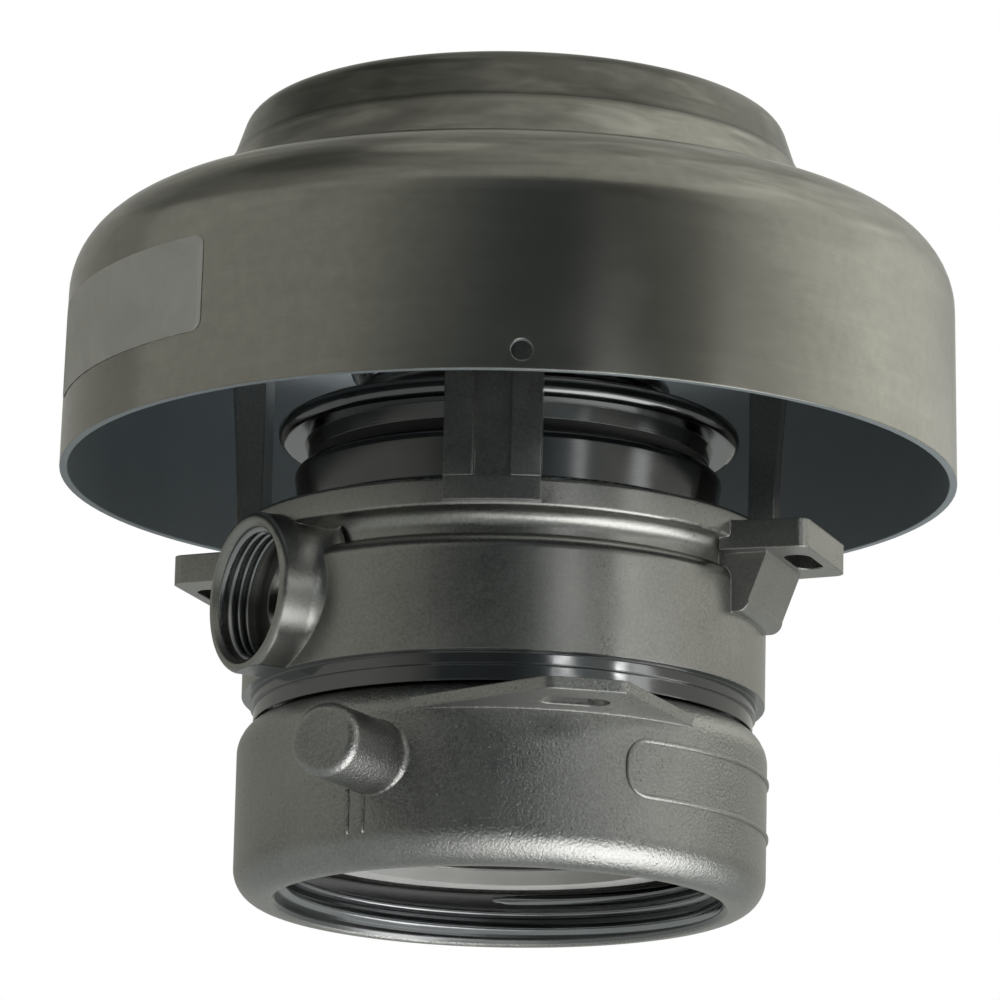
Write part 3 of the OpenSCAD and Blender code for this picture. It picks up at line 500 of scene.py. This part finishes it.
def frame_ridge(name, theta_low, theta_high, z_low, z_high, corner, wall, width, height,
                body, material):
    """Raised blank outline with rounded corners on a round wall."""
    corner_steps, spacing = 12, 1.2
    # Section of the ridge: place in its width, and share of its height
    section = ((-0.5, -0.15), (-0.38, 0.55), (-0.16, 0.96), (0.16, 0.96), (0.38, 0.55), (0.5, -0.15))
    middle = (z_low + z_high) / 2
    half = (z_high - z_low) / 2 - corner
    near, far = corner, math.radians(theta_high - theta_low) * wall - corner
    # Corners of the path: way round the wall, height, and the outward direction
    path = []
    for quarter, (x, z) in enumerate(((far, half), (near, half), (near, -half), (far, -half))):
        for i in range(corner_steps + 1):
            a = math.radians(90 * quarter + 90 * i / corner_steps)
            out_x, out_z = math.cos(a), math.sin(a)
            path.append((x + corner * out_x, middle + z + corner * out_z, out_x, out_z))
    dense = []
    for p, q in zip(path, path[1:] + path[:1]):
        n = max(1, int(math.hypot(q[0] - p[0], q[1] - p[1]) / spacing))
        dense += [tuple(a + (b - a) * i / n for a, b in zip(p, q)) for i in range(n)]
    points = []
    for x, z, out_x, out_z in dense:
        for across, share in section:
            theta = theta_low + math.degrees((x + across * width * out_x) / wall)
            points.append(polar(theta, wall + share * height, z + across * width * out_z))
    # The last ring joins the first
    loop = strip_faces(len(dense) + 1, len(section), closed=True)
    faces = [tuple(v % len(points) for v in face) for face in loop]
    return piece(name, points, faces, body, material)


def mould_line(name, theta, width, z_low, z_high, wall, height, body, material):
    """Low flat rib left by the mould, which fades into the wall at its foot and is lower at its top."""
    rows, fade_rate, top_share = 18, 6, 0.4
    # Section of the rib: place in its width, and share of its height
    section = ((-0.5, -0.2), (-0.44, 0.6), (-0.36, 1.0), (0.36, 1.0), (0.44, 0.6), (0.5, -0.2))
    points = []
    for i in range(rows):
        t = i / (rows - 1)
        z = z_low + (z_high - z_low) * t
        fade = min(1.0, t * fade_rate, (1 - t) * fade_rate + top_share)
        for across, share in section:
            at = theta + math.degrees(across * width / wall)
            points.append(polar(at, wall + share * height * fade, z))
    return piece(name, points, tube_faces(rows, len(section)), body, material)


# Materials

CAST = dict(tone=(0.335, 0.335, 0.318), dark=(0.263, 0.262, 0.248),
            grain=1700, depth=0.00004, rough=0.31, pits=0.05)
cast = cast_steel("cast_stainless", **CAST)
body_cast = cast_steel("cast_stainless_body", **CAST, neck=(NECK_LOW, NECK_HIGH))
nut_cast = cast_steel("rough_cast_stainless", tone=(0.34, 0.342, 0.328), dark=(0.248, 0.25, 0.242),
                      grain=1650, depth=0.00026, rough=0.29, pits=0.12, bore=UNION_BORE)
spun = spun_steel("spun_stainless", tone=(0.345, 0.342, 0.310), dark=(0.285, 0.282, 0.255),
                  pale=(0.43, 0.425, 0.39), rough=0.19)
turned = turned_steel("turned_stainless", tone=(0.56, 0.56, 0.54), rough=0.16)
# A darker copy of the turned steel, painted shade for the nozzle and pallet under the canopy
shaded = turned_steel("turned_stainless_painted_shade", tone=(0.185, 0.19, 0.19), rough=0.15)
bright = turned_steel("thread_steel", tone=(0.44, 0.455, 0.465), rough=0.2)
wire = wire_steel("spring_steel", tone=(0.40, 0.40, 0.385))
# The white PTFE gasket gets a grey tone: painted shade, as it sits inside the nut
ptfe = soft_plastic("ptfe", tone=(0.6, 0.6, 0.585), shade=(0.48, 0.475, 0.46), rough=0.42)
fibre = soft_plastic("fibre", tone=(0.20, 0.185, 0.165), shade=(0.13, 0.12, 0.105), rough=0.8,
                     grain=700, depth=0.0001)
rubber = soft_plastic("rubber", tone=(0.035, 0.035, 0.035), shade=(0.055, 0.055, 0.052), rough=0.6)
bronze = turned_steel("bronze", tone=(0.52, 0.37, 0.17), rough=0.3)
plug = soft_plastic("plug_plastic", tone=(0.03, 0.03, 0.032), shade=(0.045, 0.045, 0.045), rough=0.45)
label_paper = paper("label_paper", tone=(0.56, 0.56, 0.53), shade=(0.48, 0.48, 0.45))

NODE_MATERIALS = {
    "valve_body": body_cast, "cage_pillars": cast, "cage_ring": cast, "union_nut": nut_cast,
    "nut_retaining_ring": wire, "union_gasket": ptfe, "seat_nozzle": shaded, "nozzle_gasket": fibre,
    "pressure_pallet": shaded, "pallet_seal": rubber, "seal_retainer": turned, "retainer_screws": turned,
    "guide_tube": turned, "main_spring": wire, "upper_spring_plate": turned, "adjusting_screw": turned,
    "lock_ring": turned, "guide_bush": bronze, "adjuster_plug": plug, "top_cap": spun, "canopy": spun,
    "vacuum_poppet": turned, "vacuum_seal": rubber, "vacuum_spring": wire, "vacuum_spring_cup": turned,
    "vacuum_stem_nut": turned,
}
for node, obj in nodes.items():
    slots = obj.data.materials
    slots.clear()
    slots.append(NODE_MATERIALS[node])

# Threads: the CAD walls are at the roots

PORT_OUT = Vector(mounts["side_port"]["axis"]).normalized()
PORT_SIDE = Vector((0, 0, 1)).cross(PORT_OUT)


def in_nut(radius, angle, z):
    return Vector((radius * math.cos(angle), radius * math.sin(angle), z)) * MM


def in_port(radius, angle, out):
    p = PORT_SIDE * (radius * math.cos(angle)) + PORT_OUT * out
    return (p + Vector((0, 0, PORT_Z + radius * math.sin(angle)))) * MM


thread("union_thread", UNION_ROOT, UNION_CREST, UNION_PITCH, UNION_THREAD_LOW, UNION_THREAD_HIGH,
       in_nut, "nut", bright)
thread("port_thread", PORT_ROOT, PORT_CREST, PORT_PITCH, PORT_THREAD_LOW, PORT_THREAD_HIGH,
       in_port, "housing", bright)

# Springs

main_spring = coil("main_spring_coil", "main_spring", radius=30, wire=4.5, turns=5,
                   body="housing", material=wire)
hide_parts("main_spring")
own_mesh(main_spring)
light_spring = coil("vacuum_spring_coil", "vacuum_spring", radius=6.2, wire=1.2, turns=7,
                    body="pallet", material=wire)
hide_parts("vacuum_spring")
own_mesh(light_spring)


# Blank label on the skirt, blank cast outline on the nut, and two mould lines below each peg

def skirt_radius(z):
    return RIM_R - SKIRT_TAPER * (z - RIM_Z) / SKIRT_H


label("blank_label", theta_low=-80, theta_high=-38.2, z_low=98.9, z_high=118.1, corner=2.2,
      radius_at=skirt_radius, body="housing", material=label_paper)
frame_ridge("nut_outline", theta_low=30.7, theta_high=112, z_low=14.3, z_high=25.2, corner=4.6,
            wall=NUT_WALL, width=1.0, height=0.45,
            body="nut", material=nut_cast)
LINE_FROM_PEG = 1.9
line_angles = [peg + side * LINE_FROM_PEG for peg in PEG_ANGLES for side in (-1, 1)]
for number, theta in enumerate(line_angles, 1):
    mould_line(f"mould_line_{number}", theta, width=0.9, z_low=5.8, z_high=14.6,
               wall=NUT_WALL, height=0.3, body="nut", material=nut_cast)


# Stage: pale floor, studio walls, lamps and a white background

def even_glow(name, colour, strength):
    return Surface(name, "Emission").set(Color=colour, Strength=strength)


def graded_glow(name, stops):
    """Glow that changes with the azimuth, from stops of (degrees from the front, level, colour)."""
    g = Surface(name, "Emission")
    x, y, _ = g.axes()
    azimuth = g.math("ARCTAN2", x, g.math("MULTIPLY", y, -1))
    turn = g.span(azimuth, -math.pi, math.pi)
    return g.set(Color=g.ramp(turn, [((degrees + 180) / 360, times(colour, level))
                                     for degrees, level, colour in stops]))


def stage_object(name, points, faces, material):
    mesh = bpy.data.meshes.new(name)
    mesh.from_pydata(points, [], faces)
    mesh.materials.append(material)
    obj = bpy.data.objects.new(name, mesh)
    bpy.context.scene.collection.objects.link(obj)
    return obj


def glowing(name, low_edge, high_edge, material):
    """Lamp or wall of the stage between two rows of points, which the camera doesn't see."""
    faces = strip_faces(2, len(low_edge))
    stage_object(name, low_edge + high_edge, faces, material).visible_camera = False


def arc(radius, first, last, z, columns):
    """Points on a level circle, between two azimuths in degrees from the front towards +X."""
    turns = [math.radians(first + (last - first) * k / (columns - 1)) for k in range(columns)]
    return [(radius * math.sin(a), -radius * math.cos(a), z) for a in turns]


def curtain(name, low, high, stops):
    """Wall round the object between two circles of (radius, z), graded by azimuth."""
    degrees_per_column = 4
    first, last = stops[0][0], stops[-1][0]
    columns = int((last - first) / degrees_per_column)
    edges = [arc(radius, first, last, z, columns) for radius, z in (low, high)]
    glowing(name, *edges, graded_glow(name, stops))


def panel(name, radius, low, high, colour, strength):
    """Upright lamp near the object, from (azimuth, azimuth, z) at its foot to the same at its top."""
    columns = 9
    edges = [arc(radius, first, last, z, columns) for first, last, z in (low, high)]
    glowing(name, *edges, even_glow(name, colour, strength))


def floor_lamp(name, x_low, x_high, y_low, y_high, colour, strength):
    z = -0.40
    edges = [[(x_low, y, z), (x_high, y, z)] for y in (y_low, y_high)]
    glowing(name, *edges, even_glow(name, colour, strength))


def floor_material(glow_colour, glow_level):
    """Pale floor, near white to the camera, which metal sees as an even light."""
    seen_share, seen_colour, seen_level = 0.9, (1, 1, 0.99), 0.93
    g = Surface("floor")
    tone = g.mix(g.noise(3, detail=2), (0.8, 0.8, 0.79), (0.76, 0.76, 0.75))
    material = g.set(Base_Color=tone, Roughness=0.7)
    path = g.add("LightPath").outputs
    reflected = g.math("ADD", path["Is Glossy Ray"], path["Is Transmission Ray"], clamp=True)
    seen = g.math("MULTIPLY", path["Is Camera Ray"], seen_share)
    shader = g.shader.outputs[0]
    for share, colour, level in ((reflected, glow_colour, glow_level), (seen, seen_colour, seen_level)):
        glow = g.add("Emission", {"Color": colour, "Strength": level}).outputs[0]
        shader = g.add("MixShader", {0: share, 1: shader, 2: glow}).outputs[0]
    g.put(shader, g.output.inputs[0])
    return material


def make_floor():
    half, z = 8, -0.45
    corners = [(-half, -half, z), (half, -half, z), (half, half, z), (-half, half, z)]
    stage_object("floor", corners, [(0, 1, 2, 3)], floor_material((0.96, 1.0, 0.97), 0.4))


def make_walls():
    """Studio walls and ceiling: dark in front low down, and brightest on the right higher up."""
    # Edges of the walls from the floor up: radius and height
    foot, eaves, purlin, ridge, top = (3.16, -0.5), (2.71, 1.7), (1.97, 2.52), (0.99, 3.04), (0.02, 3.2)
    curtain("wall_low", foot, eaves, [
        (-180, 0.6, WARM), (-160, 0.36, WARM), (-100, 0.3, WARM), (-62, 0.29, WARM), (-40, 0.2, WARM),
        (-24, 0.07, COOL), (6, 0.055, COOL), (20, 0.13, COOL), (36, 0.29, COOL), (60, 0.36, WARM),
        (100, 0.34, WARM), (140, 0.42, WARM), (180, 0.6, WARM)])
    curtain("wall_middle", eaves, purlin, [
        (-180, 0.42, WARM), (-145, 0.3, WARM), (-110, 0.17, WARM), (-66, 0.25, WARM), (-44, 0.32, WARM),
        (-24, 0.42, WARM), (0, 0.49, WARM), (36, 0.55, WARM), (57, 0.66, WARM), (80, 0.9, WARM),
        (110, 0.86, WARM), (140, 0.65, WARM), (180, 0.42, WARM)])
    curtain("wall_high", purlin, ridge, [
        (-180, 0.4, WARM), (-140, 0.26, WARM), (-110, 0.12, WARM), (-66, 0.14, WARM), (-24, 0.3, WARM),
        (0, 0.44, WARM), (36, 0.52, WARM), (80, 0.7, WARM), (110, 0.6, WARM), (180, 0.4, WARM)])
    curtain("ceiling", ridge, top, [(azimuth, 0.44, WARM) for azimuth in (-180, 0, 180)])


def make_screens():
    """Screens near the object that shade the front of the skirt and light its sides."""
    radius, low, middle, high = 0.7, 0.228, 0.285, 0.53
    curtain("screen", (radius, low), (radius, middle), [
        (-100, 0.45, WARM), (-77, 0.45, WARM), (-52, 0.40, WARM), (-38, 0.36, WARM), (-19, 0.15, COOL),
        (0, 0.04, COOL), (17, 0.03, COOL), (32, 0.055, COOL), (48.6, 0.22, WARM), (65, 0.47, WARM),
        (85, 0.93, WARM), (105, 1.3, WARM), (128, 1.1, WARM), (148, 0.75, WARM), (162, 0.45, WARM)])
    curtain("screen_top", (radius, middle), (radius, high), [
        (-100, 0.45, WARM), (-77, 0.45, WARM), (-52, 0.43, WARM), (-38, 0.41, WARM), (-19, 0.24, WARM),
        (0, 0.115, COOL), (17, 0.075, COOL), (32, 0.095, WARM), (48.6, 0.235, WARM), (65, 0.6, WARM),
        (85, 1.0, WARM), (105, 1.25, WARM), (128, 1.0, WARM), (148, 0.6, WARM), (162, 0.4, WARM)])


def make_lamps():
    """Upright lamps on the right, two small ones for the neck, and lamps near the floor."""
    panel("strip_light", 0.5, (42, 48, 0.03), (21.5, 28, 0.178), WHITE, 1.4)
    panel("window_light", 0.5, (82, 96, 0.03), (50, 58, 0.178), WHITE, 1.55)
    lean, low, high = 1, 0.136, 0.16
    for number, (first, last, level) in enumerate(((23.5, 31.2, 5.0), (53, 64, 8.0)), 1):
        panel(f"neck_lamp_{number}", 0.49, (first + lean, last + lean, low),
              (first - lean, last - lean, high), WHITE, level)
    floor_lamp("floor_light", -0.1, 0.12, -0.6, -0.02, WHITE, 1.1)
    floor_lamp("floor_light_right", 0.12, 0.9, -0.6, 0.16, WHITE, 3.2)


def make_world():
    """White to the camera and in reflections, and a soft light to all else."""
    world = bpy.data.worlds.new("world")
    bpy.context.scene.world = world
    g = Graph(world)
    path = g.add("LightPath").outputs
    shown = path["Is Camera Ray"]
    for ray in ("Is Glossy Ray", "Is Transmission Ray"):
        shown = g.math("ADD", shown, path[ray], clamp=True)
    soft = g.add("Background", {"Color": WHITE, "Strength": 0.6}).outputs[0]
    white = g.add("Background", {"Color": WHITE, "Strength": 1.0}).outputs[0]
    mix = g.add("MixShader", {0: shown, 1: soft, 2: white}).outputs[0]
    g.add("OutputWorld", {0: mix})


make_camera()
make_floor()
make_walls()
make_screens()
make_lamps()
make_world()
bpy.context.scene.view_settings.view_transform = "Standard"
